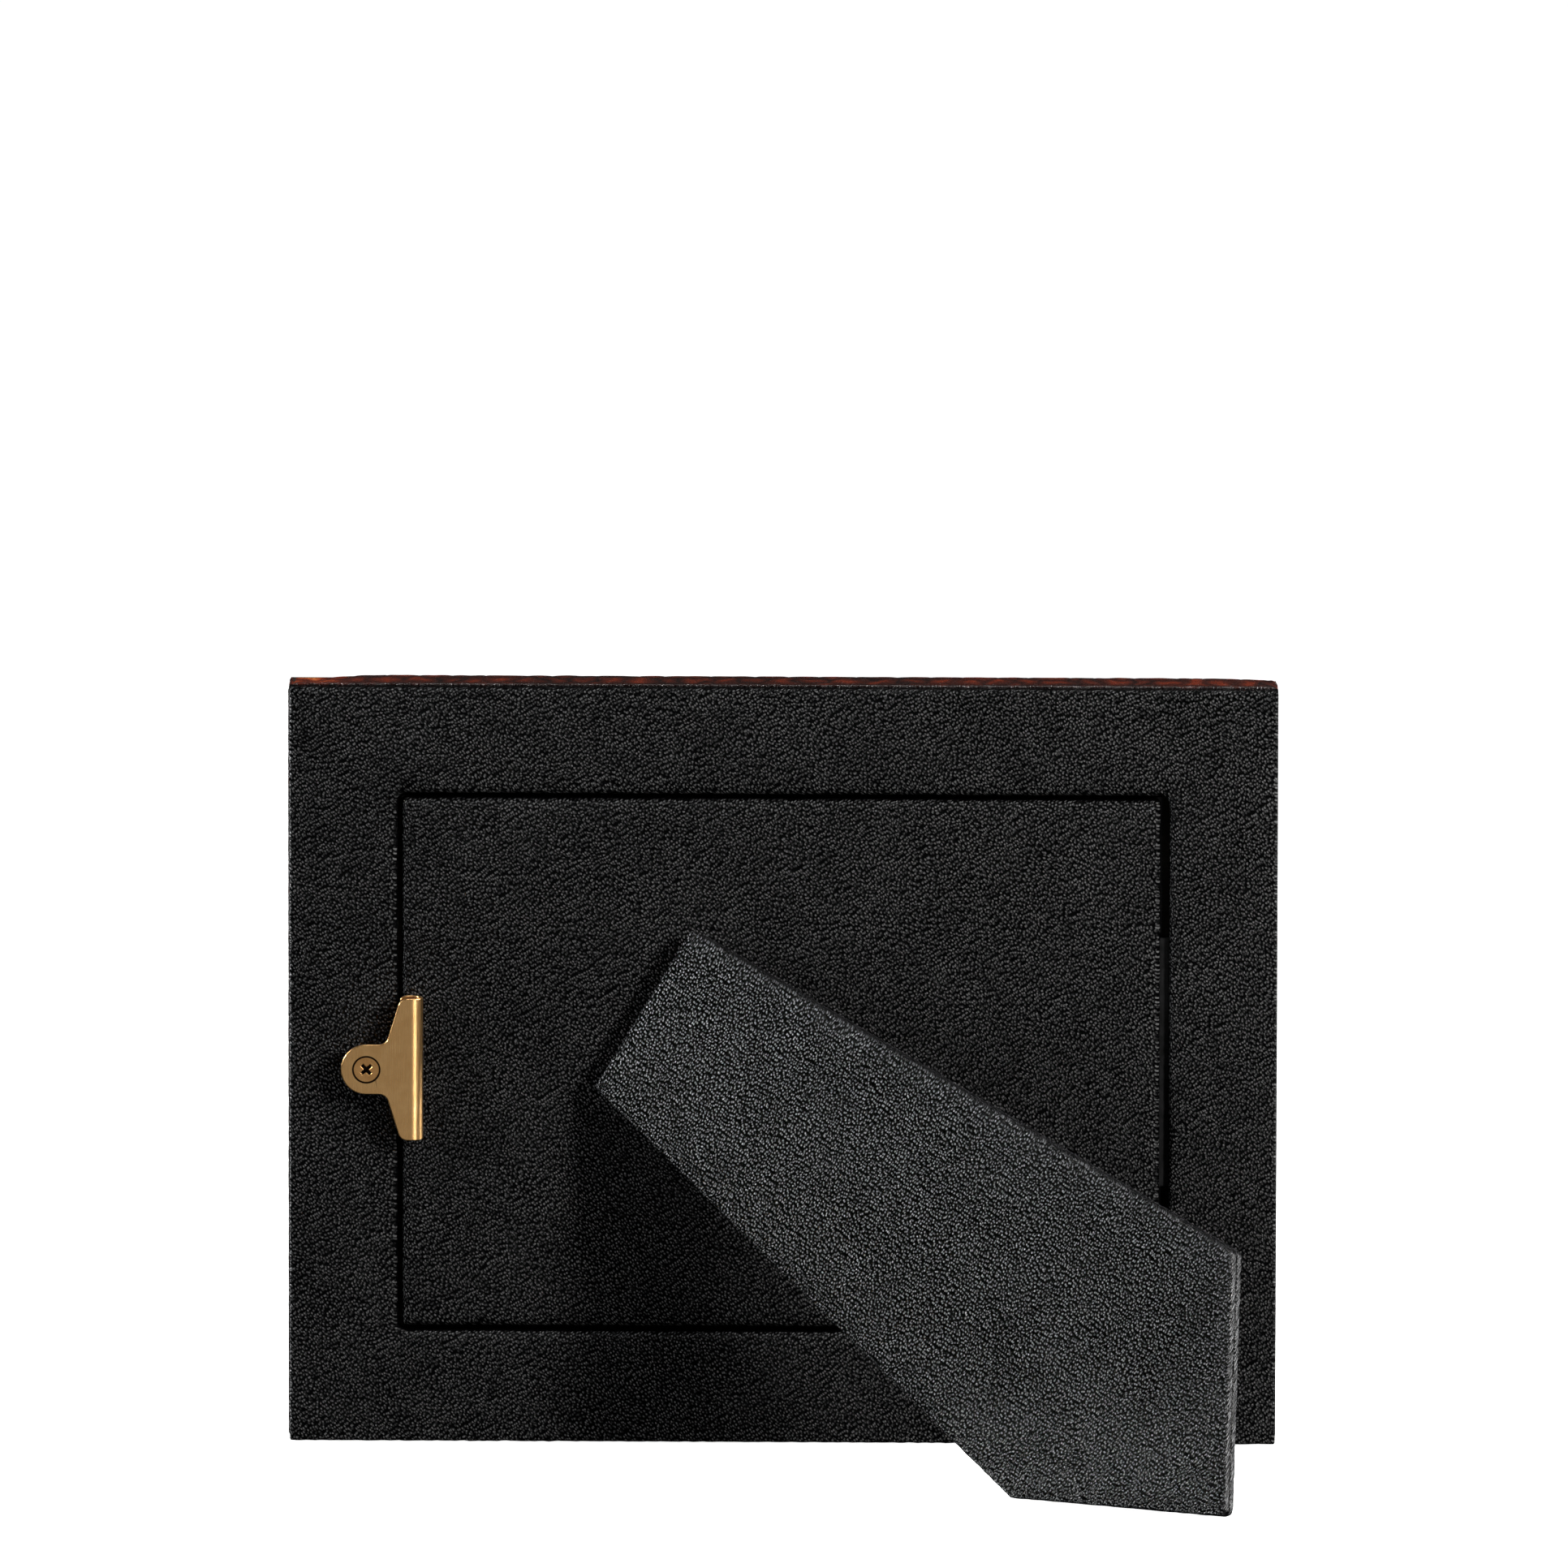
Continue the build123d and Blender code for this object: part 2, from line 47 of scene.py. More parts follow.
joints = {joint["name"]: joint for joint in frame["joints"]}
MM = 0.001

# ---- Sizes that the pieces share with the part
width, height, middle = 232.0, 182.4, 91.85
recess_width, recess_height = 181.0, 129.9
window_width, window_height = 171.8, 121.0
backboard_x, backboard_width, backboard_height = -0.55, 178.1, 127.7
rim_thickness, board_face, core_front, skin = 3.3, -0.15, -3.65, 0.6
glass_front, lip_front, front = -9.9, -12.9, -14.0
leather, leather_proud = 1.1, 0.55
clip_x, clip_y = -97.8, 91.2
low_toe, heel, high_toe = (144.74, -40.31), (193.96, -12.74), (160.16, 39.21)
head_half_width, outer_head, inner_head = 22.2, -1.7, -0.5
inner_face, seam, outer_face = -0.8, 1.9, 4.7
pocket_half_width, pocket_end = 16.0, 15.0


# ---- The planes that the pieces are drawn in
def plane(origin, x, y, z):
    """Matrix from a plane's millimetres to the row frame's metres."""
    turn = Matrix((x, y, z)).transposed().to_4x4()
    return Matrix.Translation(origin) @ turn @ Matrix.Scale(MM, 4)


back_x = Vector((-1, 0, 0))
back_z = Vector(joints["clip_turn"]["axis"]).normalized()
back_y = back_z.cross(back_x)
clip_origin = Vector(joints["clip_turn"]["pos_m"])
BACK = plane(clip_origin - back_x * clip_x * MM - back_y * clip_y * MM, back_x, back_y, back_z)
CLIP = plane(clip_origin, back_x, back_y, back_z)

pin = Vector(joints["leg_hinge"]["axis"]).normalized()
opening = Matrix.Rotation(-math.radians(joints["leg_hinge"]["range_deg"][1]), 3, pin)
leg_x = opening @ pin.cross(back_z)
leg_z = opening @ back_z
LEG = plane(Vector(joints["leg_hinge"]["pos_m"]), leg_x, pin, leg_z)


def placed(matrix, points):
    """Points of a plane, in millimetres, as points of the row frame, in metres."""
    m = np.array(matrix)
    return np.asarray(points) @ m[:3, :3].T + m[:3, 3]


# ---- Outlines
def corner_arcs(corners, inset):
    """Corners of an outline moved inwards, with each edge's direction and outward normal."""
    c = np.array(corners, float)
    along = np.roll(c, -1, 0) - c
    along /= np.linalg.norm(along, axis=1)[:, None]
    out = np.stack([along[:, 1], -along[:, 0]], 1)
    reach = (out * c).sum(1) - inset
    before = np.roll(out, 1, 0)
    reach_before = np.roll(reach, 1)
    size = before[:, 0] * out[:, 1] - before[:, 1] * out[:, 0]
    moved = np.stack(
        [
            (reach_before * out[:, 1] - reach * before[:, 1]) / size,
            (before[:, 0] * reach - out[:, 0] * reach_before) / size,
        ],
        1,
    )
    return moved, along, out, size


def outline(corners, radii, step, arc=8):
    """Function of an inset that gives a rounded outline's points and normals, always as many.
    Corners run counter-clockwise."""
    c = np.array(corners, float)
    runs = np.maximum(2, (np.linalg.norm(np.roll(c, -1, 0) - c, axis=1) / step).astype(int))

    def at(inset):
        moved, along, out, turn = corner_arcs(corners, inset)
        points, normals, ends = [], [], []
        for i in range(len(moved)):
            side = 1 if turn[i] > 0 else -1
            radius = max(radii[i] - side * inset, 0.03)
            n_in, n_out = out[i - 1], out[i]
            angle = math.acos(max(-1, min(1, float(n_in @ n_out))))
            reach = radius * math.tan(angle / 2)
            start = moved[i] - along[i - 1] * reach
            centre = start - side * radius * n_in
            for k in range(arc + 1):
                a = side * angle * k / arc
                n = np.array(
                    [
                        n_in[0] * math.cos(a) - n_in[1] * math.sin(a),
                        n_in[0] * math.sin(a) + n_in[1] * math.cos(a),
                    ]
                )
                points.append(centre + side * radius * n)
                normals.append(n)
            ends.append(len(points))
        all_points, all_normals = [], []
        for i in range(len(moved)):
            first = ends[i] - arc - 1
            all_points += points[first : ends[i]]
            all_normals += normals[first : ends[i]]
            last, following = points[ends[i] - 1], points[ends[i] % len(points)]
            for k in range(1, runs[i]):
                all_points.append(last + (following - last) * k / runs[i])
                all_normals.append(out[i])
        return np.array(all_points), np.array(all_normals)

    assert len(corners) == len(radii)
    return at


def rectangle(x0, x1, y0, y1):
    """Corners of a rectangle, counter-clockwise."""
    return [(x0, y0), (x1, y0), (x1, y1), (x0, y1)]


def wander(count, amplitude, shortest, longest, length, seed):
    """Smooth uneven values round a closed line of that length, the same on each run."""
    rng = np.random.RandomState(seed)
    low, high = max(1, int(length / longest)), max(2, int(length / shortest))
    t = np.linspace(0, 2 * math.pi, count, endpoint=False)
    total = np.zeros(count)
    for k in range(low, high + 1):
        total += rng.normal() * np.cos(k * t + rng.uniform(0, 2 * math.pi))
    return amplitude * total / max(1e-9, total.std())


def arc_profile(inset, z, radius, start, end, count=6):
    """Profile points (inset, z) on an arc about (inset, z). 0 degrees is outwards, 90 is up."""
    found = []
    for k in range(count + 1):
        a = math.radians(start + (end - start) * k / count)
        found.append((inset - radius * math.cos(a), z + radius * math.sin(a)))
    return found


# ---- Pieces
def mesh_piece(name, points, faces, body, material, replaced):
    """A mesh of the object that rides on a CAD body and stands for the CAD nodes named."""
    mesh = bpy.data.meshes.new(name)
    mesh.from_pydata([tuple(p) for p in points], [], faces)
    mesh.validate()
    tidy = bmesh.new()
    tidy.from_mesh(mesh)
    bmesh.ops.recalc_face_normals(tidy, faces=tidy.faces)
    tidy.to_mesh(mesh)
    tidy.free()
    mesh.shade_smooth()
    piece = bpy.data.objects.new(name, mesh)
    bpy.context.scene.collection.objects.link(piece)
    mesh.materials.append(material)
    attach(piece, body)
    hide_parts(*replaced)
    return piece


def lofted(rings, closed, capped):
    """Faces between rings of equally many points: closed joins the last ring to the first."""
    count = len(rings[0])
    faces = []
    for r in range(len(rings) if closed else len(rings) - 1):
        a, b = r * count, (r + 1) % len(rings) * count
        for i in range(count):
            j = (i + 1) % count
            faces.append((a + i, a + j, b + j, b + i))
    if capped:
        faces.append(tuple(range(count - 1, -1, -1)))
        last = (len(rings) - 1) * count
        faces.append(tuple(range(last, last + count)))
    return np.concatenate(rings), faces


def board_skin(name, matrix, shape, profile, body, material, replaced, seed):
    """Leatherette over a board: a thin shell that follows the profile round the outline."""
    base, _ = shape(0)
    length = np.linalg.norm(np.roll(base, -1, 0) - base, axis=1).sum()
    side = wander(len(base), 0.035, 3, 26, length, seed)
    lift = wander(len(base), 0.03, 3, 18, length, seed + 1)
    rings = []
    for inset, z, loose in profile:
        points, normals = shape(inset)
        points = points - normals * (0.07 + side[:, None]) * loose
        level = z - np.abs(lift) * loose
        rings.append(np.column_stack([points, level]))
    points, faces = lofted(rings, False, True)
    return mesh_piece(name, placed(matrix, points), faces, body, material, replaced)


# ---- Materials
def tree_of(name):
    """A new material's node tree, with its Principled shader."""
    material = bpy.data.materials.new(name)
    material.use_nodes = True
    tree = material.node_tree
    tree.nodes.clear()
    shader = tree.nodes.new("ShaderNodeBsdfPrincipled")
    output = tree.nodes.new("ShaderNodeOutputMaterial")
    tree.links.new(shader.outputs[0], output.inputs["Surface"])
    return material, tree, shader


def link(tree, source, target):
    tree.links.new(source, target)


def turned(tree, matrix, angle=0.0):
    """Object coordinates in millimetres of a plane, turned about its normal by an angle."""
    coordinates = tree.nodes.new("ShaderNodeTexCoord")
    mapping = tree.nodes.new("ShaderNodeMapping")
    axes = matrix.to_3x3().normalized().transposed()
    about = Matrix.Rotation(-math.radians(angle), 3, "Z")
    mapping.inputs["Rotation"].default_value = (about @ axes).to_euler()
    mapping.inputs["Scale"].default_value = (1 / MM, 1 / MM, 1 / MM)
    link(tree, coordinates.outputs["Object"], mapping.inputs["Vector"])
    return mapping.outputs["Vector"]


def scaled(tree, vector, scale):
    """A vector with each axis multiplied."""
    node = tree.nodes.new("ShaderNodeVectorMath")
    node.operation = "MULTIPLY"
    link(tree, vector, node.inputs[0])
    node.inputs[1].default_value = scale
    return node.outputs["Vector"]


def noise(tree, vector, scale, detail=2.0, roughness=0.5, distortion=0.0):
    node = tree.nodes.new("ShaderNodeTexNoise")
    node.inputs["Scale"].default_value = scale
    node.inputs["Detail"].default_value = detail
    node.inputs["Roughness"].default_value = roughness
    node.inputs["Distortion"].default_value = distortion
    link(tree, vector, node.inputs["Vector"])
    return node


def pushed(tree, vector, scale, amount):
    """A vector moved about by noise."""
    wobble = noise(tree, vector, scale, 1.0)
    centre = tree.nodes.new("ShaderNodeVectorMath")
    centre.operation = "SUBTRACT"
    link(tree, wobble.outputs["Color"], centre.inputs[0])
    centre.inputs[1].default_value = (0.5, 0.5, 0.5)
    spread = scaled(tree, centre.outputs["Vector"], (amount, amount, amount))
    total = tree.nodes.new("ShaderNodeVectorMath")
    total.operation = "ADD"
    link(tree, vector, total.inputs[0])
    link(tree, spread, total.inputs[1])
    return total.outputs["Vector"]


def slanted(tree, vector):
    """A plane's coordinates with height added to both others, so that edges aren't streaked."""
    split = tree.nodes.new("ShaderNodeSeparateXYZ")
    join = tree.nodes.new("ShaderNodeCombineXYZ")
    link(tree, vector, split.inputs[0])
    rise = math_node(tree, "MULTIPLY", split.outputs["Z"], 0.8)
    for axis in ("X", "Y"):
        link(tree, math_node(tree, "ADD", split.outputs[axis], rise), join.inputs[axis])
    return join.outputs[0]


def ranged(tree, value, low, high, to_low, to_high, kind="LINEAR"):
    node = tree.nodes.new("ShaderNodeMapRange")
    node.interpolation_type = kind
    link(tree, value, node.inputs["Value"])
    node.inputs["From Min"].default_value = low
    node.inputs["From Max"].default_value = high
    node.inputs["To Min"].default_value = to_low
    node.inputs["To Max"].default_value = to_high
    return node.outputs["Result"]


def math_node(tree, operation, *values):
    node = tree.nodes.new("ShaderNodeMath")
    node.operation = operation
    for socket, value in zip(node.inputs, values):
        if isinstance(value, (int, float)):
            socket.default_value = value
        else:
            link(tree, value, socket)
    return node.outputs[0]


def mixed(tree, factor, first, second):
    node = tree.nodes.new("ShaderNodeMix")
    node.data_type = "RGBA"
    link(tree, factor, node.inputs["Factor"])
    for socket, value in ((node.inputs[6], first), (node.inputs[7], second)):
        if isinstance(value, tuple):
            socket.default_value = (*value, 1)
        else:
            link(tree, value, socket)
    return node.outputs[2]


def bump(tree, height, distance, strength=1.0, normal=None):
    node = tree.nodes.new("ShaderNodeBump")
    node.inputs["Strength"].default_value = strength
    node.inputs["Distance"].default_value = distance * MM
    link(tree, height, node.inputs["Height"])
    if normal is not None:
        link(tree, normal, node.inputs["Normal"])
    return node.outputs["Normal"]


def leatherette(name, matrix, angle, pitch, stretch, relief, shine, crown_glint_colour, seed, painted_shade_seam):
    """Black coated cloth with a fine pebble grain that runs along an angle of the plane, with a highlight
    painted on the pebbles' crowns in place of their glints.
    It is black round a seam, given by its level above the plane and half its height, where the painted
    highlight is left out as painted shade."""
    material, tree, shader = tree_of(name)
    place = turned(tree, matrix, angle)
    moved = tree.nodes.new("ShaderNodeVectorMath")
    moved.operation = "ADD"
    link(tree, place, moved.inputs[0])
    moved.inputs[1].default_value = (seed * 37.0, seed * 11.0, seed * 5.0)
    place = moved.outputs["Vector"]
    bent = pushed(tree, slanted(tree, place), 0.12, 1.6)
    cells = scaled(tree, bent, (1 / (pitch * stretch), 1 / pitch, 0))
    pebbles = tree.nodes.new("ShaderNodeTexVoronoi")
    pebbles.voronoi_dimensions = "2D"
    pebbles.feature = "F1"
    pebbles.inputs["Scale"].default_value = 1.0
    pebbles.inputs["Randomness"].default_value = 0.72
    link(tree, cells, pebbles.inputs["Vector"])
    apart = pebbles.outputs["Distance"]
    dome = math_node(tree, "SUBTRACT", 1.0, math_node(tree, "MULTIPLY", apart, apart))
    fine = noise(tree, place, 3.2, 2.0)
    grain = math_node(tree, "MULTIPLY_ADD", fine.outputs["Fac"], 0.22, dome)
    cloud = noise(tree, place, 0.055, 3.0, 0.55)
    slack = noise(tree, place, 0.035, 1.5)
    normal = bump(tree, slack.outputs["Fac"], 0.9)
    normal = bump(tree, grain, relief, 1.0, normal)
    link(tree, normal, shader.inputs["Normal"])
    # Painted highlight: the pebbles' crowns get a lighter colour that stands in for their glints, a random
    # share of it on each pebble.
    crown = ranged(tree, apart, 0.08, 0.40, 1.0, 0.0, "SMOOTHSTEP")
    split = tree.nodes.new("ShaderNodeSeparateXYZ")
    link(tree, pebbles.outputs["Color"], split.inputs[0])
    glint_share = ranged(tree, split.outputs["X"], 0.0, 1.0, 0.15, 1.0)
    crown = math_node(tree, "MULTIPLY", crown, glint_share)
    crown = math_node(tree, "MULTIPLY", crown, ranged(tree, cloud.outputs["Fac"], 0.3, 0.7, 0.75, 1.15))
    heights = tree.nodes.new("ShaderNodeSeparateXYZ")
    link(tree, turned(tree, matrix), heights.inputs[0])
    # Painted shade: round the seam the crowns' painted highlight is left out, so the seam's groove and the
    # sides by the neighbouring parts read black.
    start = (matrix.to_3x3().normalized().transposed() @ matrix.translation).z / MM
    off = math_node(tree, "SUBTRACT", heights.outputs["Z"], start + painted_shade_seam[0])
    clear = ranged(tree, math_node(tree, "ABSOLUTE", off), painted_shade_seam[1], painted_shade_seam[1] + 0.4, 0.0, 1.0)
    crown = math_node(tree, "MULTIPLY", crown, clear)
    # The painted highlight's colour on the crowns, over the black base.
    colour = mixed(tree, crown, (0.0006, 0.0006, 0.0007), crown_glint_colour)
    link(tree, colour, shader.inputs["Base Color"])
    rough = ranged(tree, cloud.outputs["Fac"], 0.35, 0.65, 0.15, 0.21)
    link(tree, rough, shader.inputs["Roughness"])
    shader.inputs["Specular IOR Level"].default_value = shine
    return material


def croc(name):
    """Glossy two-tone leather: dark creases, red-brown scales, rubbed lighter on their crowns."""
    material, tree, shader = tree_of(name)
    place = turned(tree, BACK)
    ridge = tree.nodes.new("ShaderNodeAttribute")
    ridge.attribute_name = "ridge"
    tone = tree.nodes.new("ShaderNodeAttribute")
    tone.attribute_name = "tone"
    veins = noise(tree, pushed(tree, place, 0.5, 1.2), 0.9, 6.0, 0.65, 0.6)
    pores = noise(tree, place, 3.5, 3.0, 0.6)
    crown = math_node(tree, "MULTIPLY_ADD", veins.outputs["Fac"], 0.55, ridge.outputs["Fac"])
    crown = math_node(tree, "ADD", crown, tone.outputs["Fac"])
    ramp = tree.nodes.new("ShaderNodeValToRGB")
    stops = (
        (0.12, (0.008, 0.0016, 0.0008)),
        (0.42, (0.055, 0.0075, 0.0025)),
        (0.70, (0.17, 0.021, 0.005)),
        (0.88, (0.36, 0.062, 0.012)),
        (1.0, (0.62, 0.21, 0.055)),
    )
    while len(ramp.color_ramp.elements) < len(stops):
        ramp.color_ramp.elements.new(0.5)
    for element, (position, colour) in zip(ramp.color_ramp.elements, stops):
        element.position = position
        element.color = (*colour, 1)
    link(tree, ranged(tree, crown, 0.15, 1.75, 0.0, 1.0), ramp.inputs["Fac"])
    link(tree, ramp.outputs["Color"], shader.inputs["Base Color"])
    rough = ranged(tree, veins.outputs["Fac"], 0.3, 0.7, 0.2, 0.36)
    link(tree, rough, shader.inputs["Roughness"])
    wrinkles = noise(tree, pushed(tree, place, 0.8, 1.0), 1.7, 4.0, 0.6, 0.4)
    normal = bump(tree, wrinkles.outputs["Fac"], 0.28)
    normal = bump(tree, pores.outputs["Fac"], 0.05, 1.0, normal)
    link(tree, normal, shader.inputs["Normal"])
    shader.inputs["Coat Weight"].default_value = 0.7
    shader.inputs["Coat Roughness"].default_value = 0.12
    link(tree, normal, shader.inputs["Coat Normal"])
    shader.inputs["Specular IOR Level"].default_value = 0.5
    return material


def metal(name, matrix, colour, dark, rough, brush, relief, angle=0.0, gap_shade=None):
    """Metal brushed along the plane's y, with a slightly uneven finish. Painted shade (inner radius,
    outer radius, level, depth) darkens a ring about the plane's origin, the gap round a screw head, and
    what lies deep inside it."""
    material, tree, shader = tree_of(name)
    place = turned(tree, matrix, angle)
    lines = noise(tree, scaled(tree, place, brush), 1.0, 3.0, 0.6)
    stains = noise(tree, place, 0.35, 4.0, 0.6)
    shade = ranged(tree, stains.outputs["Fac"], 0.35, 0.7, 0.0, 1.0)
    tint = mixed(tree, shade, colour, dark)
    if gap_shade:
        centred = tree.nodes.new("ShaderNodeVectorMath")
        centred.operation = "SUBTRACT"
        link(tree, place, centred.inputs[0])
        origin = matrix.translation
        about = Matrix.Rotation(-math.radians(angle), 3, "Z")
        local = about @ matrix.to_3x3().normalized().transposed() @ origin / MM
        centred.inputs[1].default_value = local
        split = tree.nodes.new("ShaderNodeSeparateXYZ")
        link(tree, centred.outputs["Vector"], split.inputs[0])
        first = math_node(tree, "MULTIPLY", split.outputs["X"], split.outputs["X"])
        square = math_node(tree, "MULTIPLY_ADD", split.outputs["Y"], split.outputs["Y"], first)
        radius = math_node(tree, "SQRT", square)
        inner, outer, level, deep = gap_shade
        # Painted shade: a dark ring about the origin, in the gap round the screw head, and dark on what
        # lies deep inside the ring.
        ring = math_node(
            tree,
            "MULTIPLY",
            ranged(tree, radius, inner, inner + 0.12, 0.0, 1.0),
            ranged(tree, radius, outer, outer + 0.1, 1.0, 0.0),
        )
        depth = ranged(tree, split.outputs["Z"], level - deep, level - 0.03, 1.0, 0.0)
        near = ranged(tree, radius, outer, outer + 0.1, 1.0, 0.0)
        painted_shade = math_node(tree, "MAXIMUM", ring, math_node(tree, "MULTIPLY", depth, near))
        tint = mixed(tree, painted_shade, tint, (0.012, 0.007, 0.004))
    link(tree, tint, shader.inputs["Base Color"])
    shader.inputs["Metallic"].default_value = 1.0
    spread = ranged(tree, lines.outputs["Fac"], 0.3, 0.7, rough - 0.06, rough + 0.08)
    link(tree, spread, shader.inputs["Roughness"])
    link(tree, bump(tree, lines.outputs["Fac"], relief), shader.inputs["Normal"])
    return material


def fibrous(name, matrix, light, dark, scale, rough, relief, stretch=(1.0, 1.0, 1.0)):
    """Board, paper, felt or fabric: a fibrous surface in two close tones."""
    material, tree, shader = tree_of(name)
    place = turned(tree, matrix)
    fibres = noise(tree, scaled(tree, place, stretch), scale, 5.0, 0.7, 0.8)
    broad = noise(tree, place, scale * 0.06, 2.0)
    blend = math_node(tree, "MULTIPLY", fibres.outputs["Fac"], broad.outputs["Fac"])
    factor = ranged(tree, blend, 0.15, 0.4, 0.0, 1.0)
    link(tree, mixed(tree, factor, dark, light), shader.inputs["Base Color"])
    shader.inputs["Roughness"].default_value = rough
    shader.inputs["Specular IOR Level"].default_value = 0.25
    link(tree, bump(tree, fibres.outputs["Fac"], relief), shader.inputs["Normal"])
    return material


def window_glass():
    """Clear glass, faintly smeared."""
    material, tree, shader = tree_of("clear_glass")
    place = turned(tree, BACK)
    shader.inputs["Base Color"].default_value = (0.93, 0.97, 0.95, 1)
    shader.inputs["Transmission Weight"].default_value = 1.0
    shader.inputs["IOR"].default_value = 1.5
    smears = noise(tree, place, 0.05, 3.0)
    rough = ranged(tree, smears.outputs["Fac"], 0.4, 0.7, 0.0, 0.03)
    link(tree, rough, shader.inputs["Roughness"])
    return material


def print_paper():
    """Ivory paper with a faint laid texture."""
    material, tree, shader = tree_of("ivory_print")
    place = turned(tree, BACK)
    fibres = noise(tree, place, 2.2, 4.0, 0.65)
    laid = noise(tree, scaled(tree, place, (0.05, 2.6, 1.0)), 1.0, 2.0)
    both = math_node(tree, "MULTIPLY", fibres.outputs["Fac"], laid.outputs["Fac"])
    factor = ranged(tree, both, 0.15, 0.4, 0.0, 1.0)
    link(tree, mixed(tree, factor, (0.70, 0.66, 0.57), (0.80, 0.77, 0.69)), shader.inputs["Base Color"])
    shader.inputs["Roughness"].default_value = 0.6
    link(tree, bump(tree, both, 0.03), shader.inputs["Normal"])
    return material


# Each kind: angle of the pebble rows, pitch, stretch, relief, shine and the colour of the highlight painted
# on the crowns.
grain_pitch, grain_relief = 0.63, 0.38
back_kind = (-58, grain_pitch, 1.5, grain_relief, 0.06, (0.098, 0.098, 0.099))
leg_kind = (92, grain_pitch, 1.4, grain_relief, 0.26, (0.096, 0.097, 0.103))
leg_seam = (seam, 0.35)
# The last values place the painted shade: on the rim's and backboard's sides by the parts beside them, and
# on the leg's seam between its plies.
rim_grain = leatherette("rim_leatherette", BACK, *back_kind, 1, (-2.6, 1.4))
board_grain = leatherette("backboard_leatherette", BACK, *back_kind, 2, (-3.0, 1.4))
leg_grain = leatherette("leg_leatherette", LEG, *leg_kind, 3, leg_seam)
inner_leg_grain = leatherette("inner_leg_leatherette", LEG, *leg_kind, 4, leg_seam)
croc_leather = croc("croc_leather")
# The clip's brass gets painted shade in a ring round the screw and where it lies deep there.
brass = metal(
    "satin_brass",
    CLIP,
    (0.80, 0.48, 0.20),
    (0.72, 0.41, 0.16),
    0.30,
    (9.0, 0.12, 9.0),
    0.012,
    gap_shade=(1.0, 3.3, 4.3, 0.2),
)
# The screw's brass gets painted shade in a ring at the rim of its head and where it lies deep.
screw_brass = metal(
    "screw_brass",
    CLIP,
    (0.80, 0.44, 0.17),
    (0.62, 0.32, 0.11),
    0.30,
    (5.0, 0.9, 5.0),
    0.010,
    42,
    gap_shade=(2.86, 3.2, 4.22, 0.35),
)
steel = metal("hinge_steel", LEG, (0.46, 0.45, 0.43), (0.33, 0.31, 0.29), 0.36, (6.0, 0.4, 6.0), 0.006)
dark_steel = metal("dark_steel", BACK, (0.05, 0.05, 0.052), (0.03, 0.03, 0.03), 0.5, (4.0, 0.5, 4.0), 0.006)
grey_board = fibrous("grey_board", BACK, (0.17, 0.155, 0.13), (0.09, 0.08, 0.065), 1.6, 0.9, 0.08)
# Painted shade: the fibre board is near black so that the gap beside the backboard, where the core rails
# show, reads dark.
fibre_board = fibrous("fibre_board", BACK, (0.020, 0.015, 0.011), (0.010, 0.008, 0.006), 1.2, 0.85, 0.08)
card = fibrous("backing_card", BACK, (0.030, 0.030, 0.031), (0.014, 0.014, 0.015), 2.0, 0.9, 0.05)
felt = fibrous("black_felt", BACK, (0.035, 0.035, 0.037), (0.012, 0.012, 0.013), 1.4, 1.0, 0.2)
lining = fibrous(
    "lining_paper", BACK, (0.025, 0.024, 0.023), (0.012, 0.012, 0.012), 1.8, 0.8, 0.05, (1.0, 0.2, 1.0)
)

# ---- Rim: leatherette over the board ring, rounded at the outer edge and into the recess
rim_outer = rectangle(-width / 2, width / 2, 0, height)
rim_inner = rectangle(
    -recess_width / 2, recess_width / 2, middle - recess_height / 2, middle + recess_height / 2
)
rim_round, recess_roll, recess_corner, board_round = 0.75, 1.4, 2.2, 1.35
rim_sink, roll_sink = 0.02, 0.14
RIM_COUNT = (210, 150)
RIM_ARC = 8


def rectangle_ring(corners, inset, radius, counts, arc):
    """A rounded rectangle's points, as many whatever its size, and how far along each side."""
    (x0, y0), _, (x1, y1), _ = corners
    x0, x1, y0, y1 = x0 + inset, x1 - inset, y0 + inset, y1 - inset
    radius = max(radius, 0.02)
    points = []
    centres = ((x1 - radius, y0 + radius), (x1 - radius, y1 - radius))
    centres += ((x0 + radius, y1 - radius), (x0 + radius, y0 + radius))
    starts = ((x0 + radius, y0), (x1, y0 + radius), (x1 - radius, y1), (x0, y1 - radius))
    for side in range(4):
        start, centre = np.array(starts[side]), np.array(centres[side])
        begin = math.radians(-90 + 90 * side)
        end = centre + radius * np.array([math.cos(begin), math.sin(begin)])
        count = counts[side % 2]
        for k in range(count):
            points.append(start + (end - start) * k / count)
        for k in range(arc):
            a = begin + math.pi / 2 * k / arc
            points.append(centre + radius * np.array([math.cos(a), math.sin(a)]))
    return np.array(points)


def ring_skin(name, outer, inner, profile, counts, arc, body, material, replaced, seed):
    """A closed ring whose profile gives, for each point, the rectangle it is measured from."""
    rings = []
    total = 2 * (counts[0] + counts[1]) + 4 * arc
    length = 2 * (width + height)
    side = wander(total, 0.035, 3, 26, length, seed)
    lift = wander(total, 0.03, 3, 18, length, seed + 1)
    for which, inset, z, radius, loose in profile:
        corners = outer if which == "outer" else inner
        sign = 1 if which == "outer" else -1
        points = rectangle_ring(corners, sign * inset, radius, counts, arc)
        centre = points.mean(0)
        away = points - centre
        away = np.sign(away) * (np.abs(away) > np.abs(away).max(0) * 0.97)
        points = points - sign * away * (0.07 + side[:, None]) * loose
        rings.append(np.column_stack([points, z - np.abs(lift) * loose]))
    points, faces = lofted(rings, True, False)
    return mesh_piece(name, placed(BACK, points), faces, body, material, replaced)


